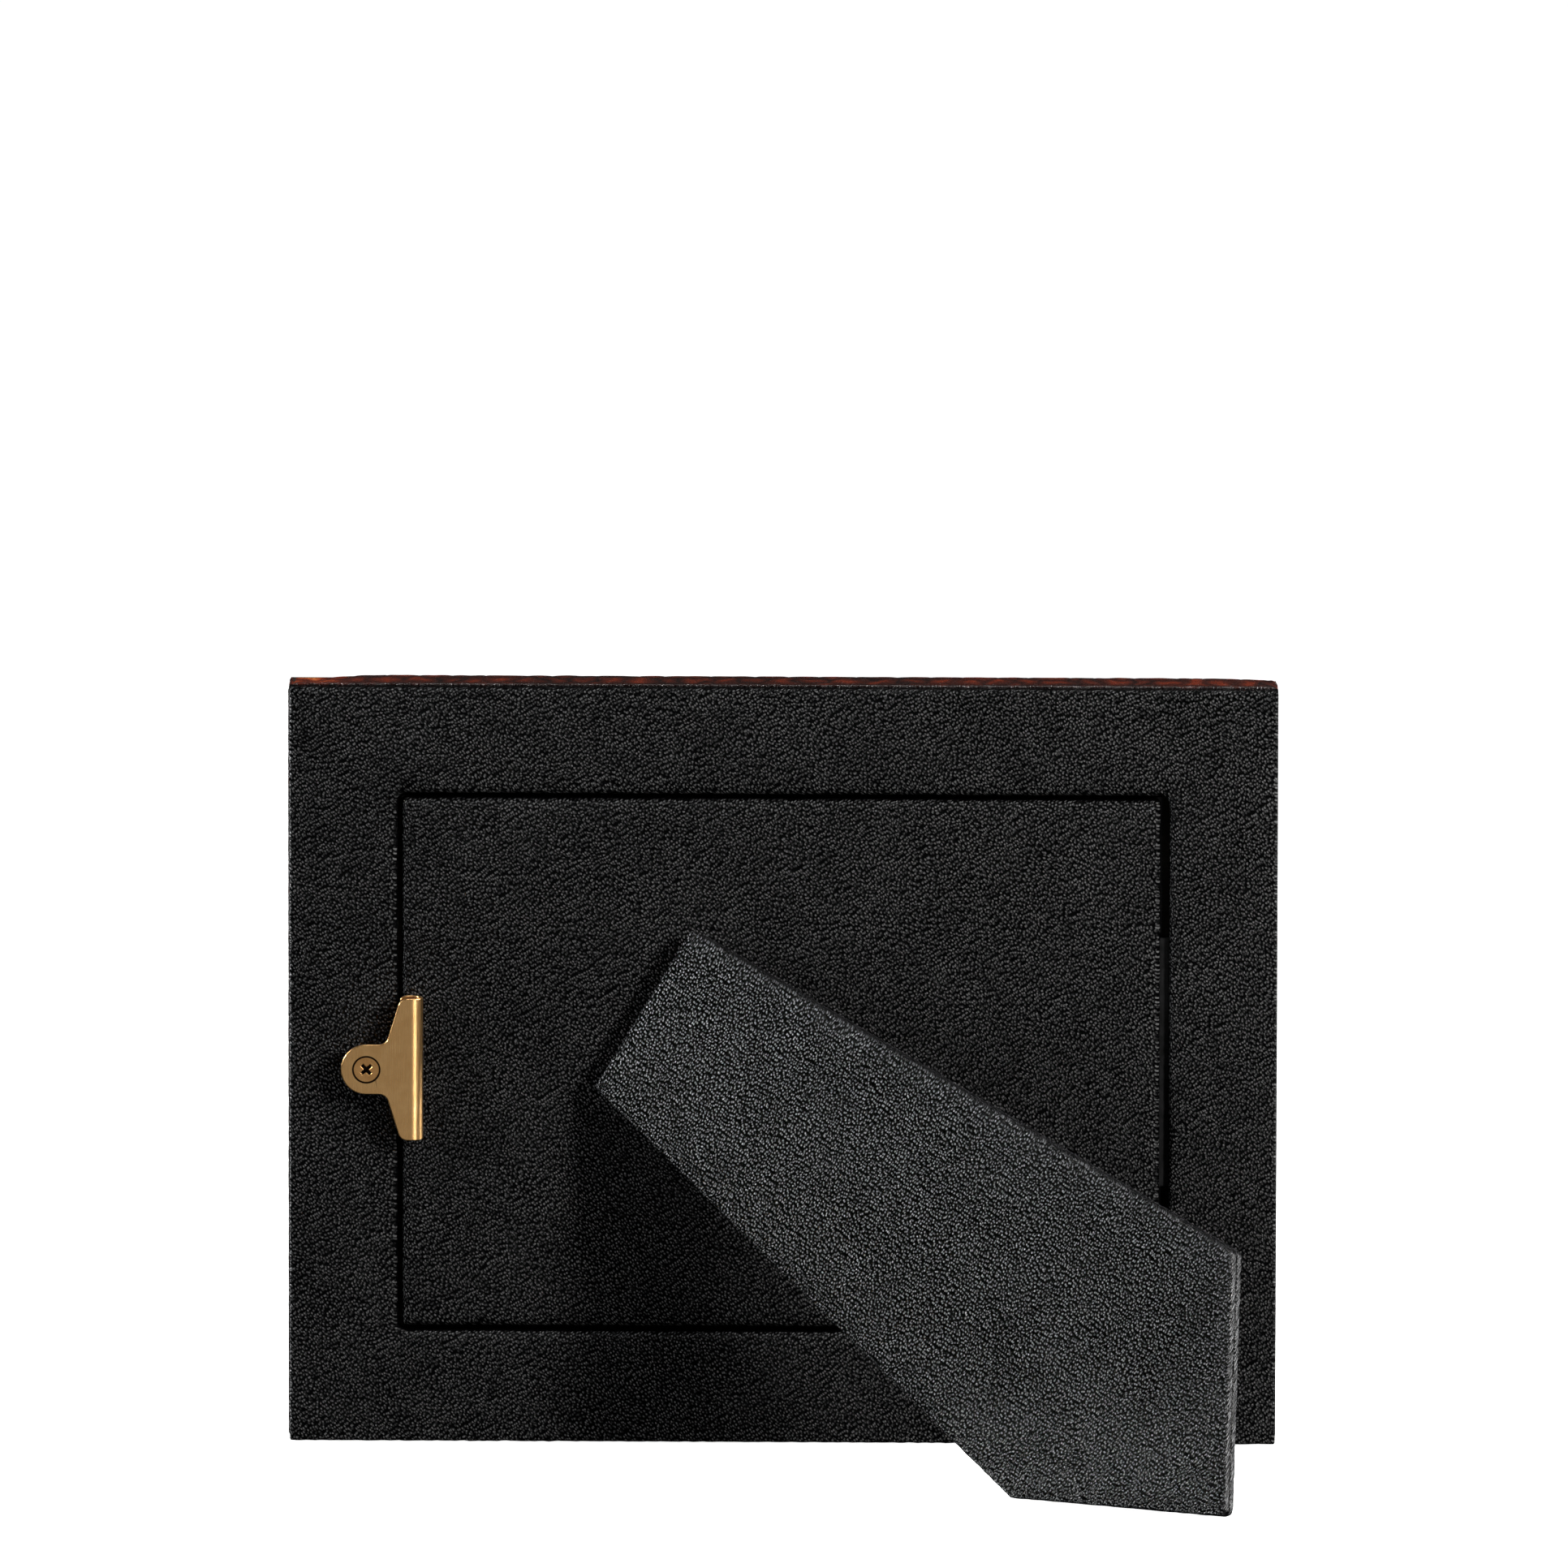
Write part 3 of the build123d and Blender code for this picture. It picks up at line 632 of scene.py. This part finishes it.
rim_profile = [("outer", skin, -rim_thickness, 0.3, 0)]
rim_profile += [("outer", 0, -rim_thickness, 0.5, 0), ("outer", 0, -2.2, 0.5, 1)]
for inset, z in arc_profile(rim_round, -rim_round - rim_sink, rim_round, 0, 90):
    rim_profile.append(("outer", inset, z, max(0.5 - inset, 0.05), 1))
rim_profile += [("outer", 1.5, -0.05, 0.05, 0.8), ("outer", 3.0, 0, 0.05, 0)]
rim_profile += [("inner", 3.6, 0, recess_corner + 3.6, 0)]
rim_profile += [("inner", 2.4, -0.05, recess_corner + 2.4, 0.7)]
for inset, z in reversed(arc_profile(recess_roll, -recess_roll - roll_sink, recess_roll, 0, 84)):
    rim_profile.append(("inner", inset, z, recess_corner + inset, 1))
rim_profile += [("inner", 0, -rim_thickness, recess_corner, 0), ("inner", skin, -rim_thickness, 2.8, 0)]
rim_profile += [("inner", skin, -0.98 - skin, 2.8, 0), ("inner", 1.4, -skin, 3.6, 0)]
rim_profile += [("outer", 1.4, -skin, 0.05, 0), ("outer", skin, -0.86 - skin, 0.3, 0)]
ring_skin(
    "rim_leatherette",
    rim_outer,
    rim_inner,
    rim_profile,
    RIM_COUNT,
    RIM_ARC,
    "frame_body",
    rim_grain,
    ["rim_cover"],
    11,
)

# ---- Backboard: leatherette wrapped over its board, a little rounded along the edges
backboard = outline(
    rectangle(
        backboard_x - backboard_width / 2,
        backboard_x + backboard_width / 2,
        middle - backboard_height / 2,
        middle + backboard_height / 2,
    ),
    [1.3] * 4,
    1.0,
)
backboard_profile = [(skin, board_face - skin, 0), (skin, core_front, 0), (0, core_front, 0)]
backboard_profile += [(0, -2.6, 1)]
board_arc = arc_profile(board_round, board_face - board_round - roll_sink, board_round, 0, 84)
backboard_profile += [(i, z, 1) for i, z in board_arc]
backboard_profile += [(2.3, board_face - 0.04, 0.7), (3.4, board_face, 0), (3.8, board_face, 0)]
board_skin(
    "backboard_leatherette",
    BACK,
    backboard,
    backboard_profile,
    "frame_body",
    board_grain,
    ["backboard_cover"],
    21,
)

# ---- Easel leg: two boards wrapped in leatherette, glued back to back


def flared(head_x):
    """Corners of a ply whose head edge lies at head_x, from the head's lower end on."""
    upper = np.array([outer_head, head_half_width])
    lower = np.array([outer_head, -head_half_width])
    up = upper + (np.array(high_toe) - upper) * (head_x - outer_head) / (high_toe[0] - outer_head)
    low = lower + (np.array(low_toe) - lower) * (head_x - outer_head) / (low_toe[0] - outer_head)
    return tuple(up), tuple(low)


head_top, head_bottom = flared(outer_head)
outer_ply = outline([head_bottom, low_toe, heel, high_toe, head_top], [1.2, 1.4, 2.0, 2.0, 1.2], 0.9)
seam_round, ply_round = 0.55, 0.7
outer_profile = [(skin, outer_face - skin, 0), (skin, seam, 0), (0.5, seam, 0)]
outer_profile += [(i, z, 1) for i, z in arc_profile(seam_round, seam + seam_round, seam_round, -80, 0, 5)]
outer_arc = arc_profile(ply_round, outer_face - ply_round - 0.3, ply_round, 0, 90, 7)
outer_profile += [(i, z, 1) for i, z in outer_arc]
outer_profile += [(1.3, outer_face - 0.27, 1), (2.2, outer_face - 0.1, 0.6)]
outer_profile += [(3.4, outer_face, 0), (3.8, outer_face, 0)]
board_skin(
    "leg_outer_leatherette",
    LEG,
    outer_ply,
    outer_profile,
    "leg_body",
    leg_grain,
    ["leg_outer_cover"],
    31,
)

inner_top, inner_bottom = flared(inner_head)
notch = [
    (inner_head, pocket_half_width),
    (pocket_end, pocket_half_width),
    (pocket_end, -pocket_half_width),
    (inner_head, -pocket_half_width),
]
inner_ply = outline(
    [inner_bottom, low_toe, heel, high_toe, inner_top, *notch],
    [1.0, 1.4, 2.0, 2.0, 1.0, 0.8, 0.8, 0.8, 0.8],
    0.9,
)
inner_profile = [(skin, inner_face + skin, 0), (skin, seam, 0), (0.5, seam, 0)]
seam_arc = arc_profile(seam_round, seam - seam_round - 0.04, seam_round, 80, 0, 5)
inner_arc = arc_profile(ply_round, inner_face + ply_round + 0.05, ply_round, 0, -90, 6)
inner_profile += [(i, z, 1) for i, z in seam_arc + inner_arc]
inner_profile += [(1.0, inner_face, 0), (1.2, inner_face, 0)]
board_skin(
    "leg_inner_leatherette",
    LEG,
    inner_ply,
    inner_profile,
    "leg_body",
    inner_leg_grain,
    ["leg_inner_cover"],
    41,
)

# ---- Crocodile-embossed leather over the front, the outer sides and the edge of the window
LEATHER_COUNT = (620, 490)
LEATHER_ARC = 8
leather_outer = rectangle(
    -width / 2 - leather_proud, width / 2 + leather_proud, -leather_proud, height + leather_proud
)
leather_inner = rectangle(
    -window_width / 2, window_width / 2, middle - window_height / 2, middle + window_height / 2
)
side_radius, window_radius, back_radius, corner_radius = 2.1, 1.4, 0.4, 2.4


def leather_path():
    """The profile of the leather's outer surface as (share, outer inset, inner inset, z).
    A point lies on the outer rectangle inset, the window's rectangle, or a share between."""
    side_start, side_end = -rim_thickness - back_radius, front + side_radius
    path = [(0, i, 0, z) for i, z in arc_profile(back_radius, side_start, back_radius, 90, 0, 4)]
    for z in np.linspace(side_start, side_end, 20)[1:-1]:
        path.append((0, 0, 0, z))
    path += [(0, i, 0, z) for i, z in arc_profile(side_radius, side_end, side_radius, 0, -90, 9)]
    for share in np.linspace(0, 1, 68)[1:-1]:
        path.append((share, side_radius, window_radius, front))
    for i, z in arc_profile(window_radius, front + window_radius, window_radius, -90, 0, 7):
        path.append((1, 0, i, z))
    for z in np.linspace(front + window_radius, glass_front, 7)[1:]:
        path.append((1, 0, 0, z))
    return path


def leather_ring(share, outer_inset, inner_inset, z):
    """A ring of the leather's surface, in the BACK plane."""
    outside = rectangle_ring(
        leather_outer, outer_inset, corner_radius - outer_inset, LEATHER_COUNT, LEATHER_ARC
    )
    inside = rectangle_ring(leather_inner, -inner_inset, 0.5 + inner_inset, LEATHER_COUNT, LEATHER_ARC)
    points = outside * (1 - share) + inside * share
    return np.column_stack([points, np.full(len(points), z)])


path = leather_path()
surface = np.array([leather_ring(*step) for step in path])
rows, around = surface.shape[:2]

# How far each point is along its own side and across it, on the leather laid flat.
across = np.zeros((rows, around))
across[1:] = np.cumsum(np.linalg.norm(np.diff(surface, axis=0), axis=2), 0)
side_of = np.zeros(around, int)
index = 0
for side in range(4):
    count = LEATHER_COUNT[side % 2] + LEATHER_ARC
    side_of[index : index + count] = side
    index += count
half_arc = LEATHER_ARC // 2
side_of = np.roll(side_of, -half_arc)
along = np.where(side_of % 2 == 0, surface[:, :, 0], surface[:, :, 1] - height / 2)
across_side = np.zeros((rows, around))
for side in range(4):
    mine = side_of == side
    across_side[:, mine] = np.median(across[:, mine], axis=1)[:, None]


SCALE_PITCHES = (4.6, 5.4, 6.6, 8.0, 8.6, 7.6, 6.0, 5.0, 4.6)


def scale_seeds(side, rng):
    """Centres of the scales of one side's leather: rows of broad scales, smaller at its edges."""
    reach = (width if side % 2 == 0 else height) / 2 + 12
    seeds, t = [], -3.0
    for pitch in SCALE_PITCHES:
        s = -reach + rng.uniform(0, 6)
        while s < reach:
            step = pitch * rng.uniform(0.95, 1.5)
            seeds.append((s + step / 2, t + pitch / 2 + rng.uniform(-0.9, 0.9), rng.uniform(0, 1)))
            s += step
        t += pitch
    return np.array(seeds)


def scales(s, t, seeds):
    """Distance to the nearest crease and the nearest scale's own value."""
    edge = np.zeros(len(s))
    own = np.zeros(len(s))
    for first in range(0, len(s), 20000):
        part = slice(first, first + 20000)
        ds = np.abs(s[part, None] - seeds[None, :, 0]) / 1.12
        dt = np.abs(t[part, None] - seeds[None, :, 1])
        distance = (ds**2.6 + dt**2.6) ** (1 / 2.6)
        two = np.argpartition(distance, 1, axis=1)[:, :2]
        near = np.take_along_axis(distance, two, 1)
        order = np.argsort(near, axis=1)
        two = np.take_along_axis(two, order, 1)
        near = np.take_along_axis(near, order, 1)
        edge[part] = (near[:, 1] - near[:, 0]) / 2
        own[part] = seeds[two[:, 0], 2]
    return edge, own


def ripple(s, t, seed, count, shortest, longest):
    """Smooth uneven values over a flat sheet, from waves in many directions."""
    rng = np.random.RandomState(seed)
    total = np.zeros(np.shape(s))
    for _ in range(count):
        length = math.exp(rng.uniform(math.log(shortest), math.log(longest)))
        a = rng.uniform(0, 2 * math.pi)
        wave = 2 * math.pi / length * (s * math.cos(a) + t * math.sin(a))
        total += np.cos(wave + rng.uniform(0, 2 * math.pi))
    return total / math.sqrt(count / 2)


ridge = np.zeros((rows, around))
tone = np.zeros((rows, around))
wave = np.zeros((rows, around))
for side in range(4):
    mine = side_of == side
    s, t = along[:, mine], across_side[:, mine]
    bend_s = s + 0.7 * ripple(s, t, 50 + side, 12, 5, 16)
    bend_t = t + 0.7 * ripple(s, t, 60 + side, 12, 5, 16)
    edge, own = scales(bend_s.ravel(), bend_t.ravel(), scale_seeds(side, np.random.RandomState(70 + side)))
    ridge[:, mine] = edge.reshape(s.shape)
    tone[:, mine] = own.reshape(s.shape)
    wave[:, mine] = ripple(s, t, 80 + side, 24, 3, 14)

crease = 1 - np.exp(-((ridge / 0.34) ** 1.4))
dome = 1 - np.exp(-((ridge / 1.9) ** 1.4))
relief = 0.24 * crease + 0.17 * dome + 0.05 * wave
relief = np.minimum(relief, 0.56)

# The leather ends against the rim at the back and against the glass at the window.
z_levels = surface[:, :, 2]
calm = np.clip((-rim_thickness - z_levels) / 0.8, 0, 1)
at_window = (np.array([step[0] for step in path]) >= 1)[:, None]
calm = np.where(at_window, np.clip((glass_front - 0.2 - z_levels) / 1.5, 0, 1), calm)
sunk = (0.60 - relief) * (0.35 + 0.65 * calm)

# The mitres on the front show as thin folds, and the top's left end is pressed thinner.
edges_of_sides = np.flatnonzero(side_of != np.roll(side_of, 1))
columns = np.arange(around)
gap = np.min(
    [np.minimum((columns - e) % around, (e - columns) % around) for e in edges_of_sides], axis=0
)
shares = np.array([step[0] for step in path])[:, None]
fold = np.exp(-((gap[None, :] / 1.6) ** 2)) * (shares > 0)
sunk = np.where(shares <= 0, 0.27 + 0.35 * (sunk - 0.27), sunk)
sunk = sunk + 0.28 * fold
from_left = surface[:, :, 0] + width / 2
on_top = (side_of == 2)[None, :] & (shares <= 0)
pressed = np.exp(-((from_left / 14.0) ** 3)) * on_top
depth_share = np.clip((-rim_thickness - z_levels) / 6.5, 0, 1)
sunk = sunk + 0.85 * pressed * depth_share
right_end = np.exp(-(((surface[:, :, 0] - width / 2) / 10.0) ** 2)) * on_top
sunk = sunk + 0.35 * right_end * depth_share
on_right = (side_of == 1)[None, :] & (shares <= 0)
sunk = sunk + 0.35 * on_right
sunk = np.minimum(sunk, 1.02)

# Painted shade: the croc is darkened along its seam with the rim at the back, where shade falls in the
# groove.
seam_painted_shade = np.exp(-(((-rim_thickness - z_levels) / 0.7) ** 2)) * (shares <= 0)

step_in = np.roll(surface, -1, 1) - np.roll(surface, 1, 1)
step_on = np.gradient(surface, axis=0)
normal = np.cross(step_in, step_on)
normal /= np.maximum(np.linalg.norm(normal, axis=2), 1e-9)[:, :, None]
middle_point = np.array([0, middle, -7.0])
if normal[12, 40] @ (surface[12, 40] - middle_point) < 0:
    normal = -normal
surface = surface - normal * sunk[:, :, None]

under = [(0, leather, 0, lip_front), (0, leather, 0, -rim_thickness)]
under = [(1, 0, leather, glass_front), (1, 0, leather, lip_front)] + under
rings = list(surface) + [leather_ring(*step) for step in under]
points, faces = lofted(rings, True, False)
leather_piece = mesh_piece(
    "croc_leather_cover",
    placed(BACK, points),
    faces,
    "frame_body",
    croc_leather,
    ["leather_top", "leather_bottom", "leather_left", "leather_right"],
)
# The tone also carries the painted shade along the rim seam.
for name, values in (
    ("ridge", np.clip(0.15 + 0.85 * dome * crease, 0, 1)),
    ("tone", 0.30 * (tone - 0.5) - 0.25 * fold + 0.55 * pressed - 0.6 * seam_painted_shade),
):
    attribute = leather_piece.data.attributes.new(name, "FLOAT", "POINT")
    flat = np.zeros(len(points), np.float32)
    flat[: rows * around] = values.ravel()
    attribute.data.foreach_set("value", flat)


# ---- Metal pieces: the CAD shapes with their edges eased
def eased(node, body, material, ease, segments=2):
    """A copy of a CAD node whose sharp edges are bevelled, in the node's place."""
    mesh = nodes[node].data.copy()
    work = bmesh.new()
    work.from_mesh(mesh)
    bmesh.ops.remove_doubles(work, verts=work.verts, dist=0.002 * MM)
    bmesh.ops.dissolve_limit(
        work, angle_limit=math.radians(0.6), verts=work.verts, edges=work.edges, delimit=set()
    )
    sharp = [
        e for e in work.edges if len(e.link_faces) == 2 and e.calc_face_angle(0) > math.radians(32)
    ]
    bmesh.ops.bevel(
        work,
        geom=sharp,
        offset=ease * MM,
        offset_type="OFFSET",
        segments=segments,
        profile=0.5,
        affect="EDGES",
        clamp_overlap=True,
    )
    for face in work.faces:
        face.smooth = True
    for e in work.edges:
        e.smooth = len(e.link_faces) == 2 and e.calc_face_angle(0) < math.radians(40)
    work.to_mesh(mesh)
    work.free()
    if "custom_normal" in mesh.attributes:
        mesh.attributes.remove(mesh.attributes["custom_normal"])
    mesh.materials.clear()
    mesh.materials.append(material)
    piece = bpy.data.objects.new(node + "_eased", mesh)
    bpy.context.scene.collection.objects.link(piece)
    weighted = piece.modifiers.new("weighted", "WEIGHTED_NORMAL")
    weighted.keep_sharp = True
    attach(piece, body)
    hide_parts(node)
    return piece


eased("turn_clip", "clip_body", brass, 0.26, 3)
eased("clip_screw", "frame_body", screw_brass, 0.12)

# ---- CAD nodes that stay, each with its finish
finishes = {
    # The core rails take the near-black fibre board, which is painted shade in the gap beside the
    # backboard.
    "core_rail_top": fibre_board,
    "core_rail_bottom": fibre_board,
    "core_rail_left": fibre_board,
    "core_rail_right": fibre_board,
    "rim_board": grey_board,
    "backboard_core": grey_board,
    "leg_outer_board": grey_board,
    "leg_inner_board": grey_board,
    "glass": window_glass(),
    "photo_print": print_paper(),
    "backing_card": card,
    "pressure_pad": felt,
    "backboard_lining": lining,
    "tongue_rivets": dark_steel,
    "backboard_tongue": dark_steel,
    "board_rivets": steel,
    "leg_rivets": steel,
    "hinge_board_leaf": steel,
    "hinge_leg_leaf": steel,
    "hinge_pin": steel,
    "clip_spacer": brass,
}
for name, material in finishes.items():
    nodes[name].data.materials.clear()
    nodes[name].data.materials.append(material)

# ---- Floor, lights and camera


def plain(name, colour, rough, glow):
    material, tree, shader = tree_of(name)
    place = tree.nodes.new("ShaderNodeTexCoord").outputs["Object"]
    mottle = noise(tree, place, 3.0, 2.0)
    low = tuple(c * 0.99 for c in colour)
    link(tree, mixed(tree, mottle.outputs["Fac"], low, colour), shader.inputs["Base Color"])
    shader.inputs["Roughness"].default_value = rough
    shader.inputs["Specular IOR Level"].default_value = 0.0
    shader.inputs["Emission Color"].default_value = (1, 1, 1, 1)
    shader.inputs["Emission Strength"].default_value = glow
    return material


floor_reach = 14.0
floor_corners = rectangle(-floor_reach, floor_reach, -floor_reach, floor_reach)
floor_mesh = bpy.data.meshes.new("floor")
floor_mesh.from_pydata([(x, y, 0) for x, y in floor_corners], [], [(0, 1, 2, 3)])
floor = bpy.data.objects.new("floor", floor_mesh)
bpy.context.scene.collection.objects.link(floor)
floor_mesh.materials.append(plain("pale_floor", (0.86, 0.86, 0.86), 0.9, 0.97))
# The floor shows in the picture but gives no bounce, reflection or shadow: the lamps do that.
floor.visible_glossy = False
floor.visible_diffuse = False
floor.visible_shadow = False

centre = Vector((0, BACK.translation.y, 0.0903))


def softbox(name, place, size, power, tint=(1, 1, 1)):
    """An area light near the object, aimed at its middle."""
    data = bpy.data.lights.new(name, "AREA")
    data.shape = "RECTANGLE"
    data.size, data.size_y = size
    data.energy = power
    data.color = tint
    lamp = bpy.data.objects.new(name, data)
    bpy.context.scene.collection.objects.link(lamp)
    lamp.location = centre + Vector(place)
    lamp.rotation_mode = "QUATERNION"
    lamp.rotation_quaternion = Vector(place).to_track_quat("Z", "Y")
    lamp.visible_camera = False


softbox("key", (-0.60, 0.52, 0.32), (0.12, 0.12), 10.0, (1.0, 0.985, 0.96))
softbox("left_wall", (0.76, 0.17, 0.26), (0.16, 0.16), 8.5, (0.95, 0.975, 1.0))
softbox("clip_card", (0.0, 1.0, -0.35), (0.5, 0.35), 0.25)
softbox("right_low", (-0.58, 1.17, -0.44), (0.15, 0.35), 2.4, (1.0, 0.985, 0.96))
softbox("right_far", (-1.1, -0.15, -0.05), (0.8, 0.35), 14.0)
softbox("top", (-0.2, 0.35, 1.4), (1.0, 0.4), 10.0)
softbox("top_right", (-0.26, 0.02, 0.26), (0.04, 0.04), 0.25)
softbox("front_fill", (1.45, -0.95, -0.12), (0.7, 0.3), 40.0)

world = bpy.data.worlds.new("studio")
bpy.context.scene.world = world
world.use_nodes = True
sky = world.node_tree
sky.nodes.clear()
dim = sky.nodes.new("ShaderNodeBackground")
direction = sky.nodes.new("ShaderNodeTexCoord")
split = sky.nodes.new("ShaderNodeSeparateXYZ")
sky.links.new(direction.outputs["Generated"], split.inputs[0])
wash = sky.nodes.new("ShaderNodeMapRange")
wash.interpolation_type = "SMOOTHSTEP"
wash.inputs["From Min"].default_value = 0.2
wash.inputs["From Max"].default_value = -0.9
wash.inputs["To Min"].default_value = 0.008
wash.inputs["To Max"].default_value = 0.03
sky.links.new(split.outputs["Y"], wash.inputs["Value"])
sky.links.new(wash.outputs["Result"], dim.inputs["Strength"])
dim.inputs["Color"].default_value = (1, 1, 1, 1)
pale = sky.nodes.new("ShaderNodeBackground")
pale.inputs["Color"].default_value = (1, 1, 1, 1)
pale.inputs["Strength"].default_value = 1.0
rays = sky.nodes.new("ShaderNodeLightPath")
choose = sky.nodes.new("ShaderNodeMixShader")
out = sky.nodes.new("ShaderNodeOutputWorld")
sky.links.new(rays.outputs["Is Camera Ray"], choose.inputs["Fac"])
sky.links.new(dim.outputs[0], choose.inputs[1])
sky.links.new(pale.outputs[0], choose.inputs[2])
sky.links.new(choose.outputs[0], out.inputs["Surface"])

bpy.context.scene.view_settings.view_transform = "Standard"
bpy.context.scene.view_settings.look = "None"

# The camera stands far off on a long lens, behind the frame and a little above it.
camera_data = bpy.data.cameras.new("camera")
camera_data.sensor_width = 36.0
camera_data.lens = 977.5
camera_data.clip_start, camera_data.clip_end = 1.0, 60.0
camera = bpy.data.objects.new("camera", camera_data)
bpy.context.scene.collection.objects.link(camera)
bpy.context.scene.camera = camera
rise, swing, roll = (math.radians(a) for a in (8.552, 0.582, 0.161))
camera_distance, aim_above = 10.0, 0.0669
away = Vector((-math.sin(swing) * math.cos(rise), math.cos(swing) * math.cos(rise), math.sin(rise)))
stand = Matrix.Translation(centre + Vector((0, 0, aim_above)) + away * camera_distance)
right = Vector((-math.cos(swing), -math.sin(swing), 0))
up = away.cross(right)
right, up = right * math.cos(roll) + up * math.sin(roll), up * math.cos(roll) - right * math.sin(roll)
camera.matrix_world = stand @ Matrix((right, up, away)).transposed().to_4x4()
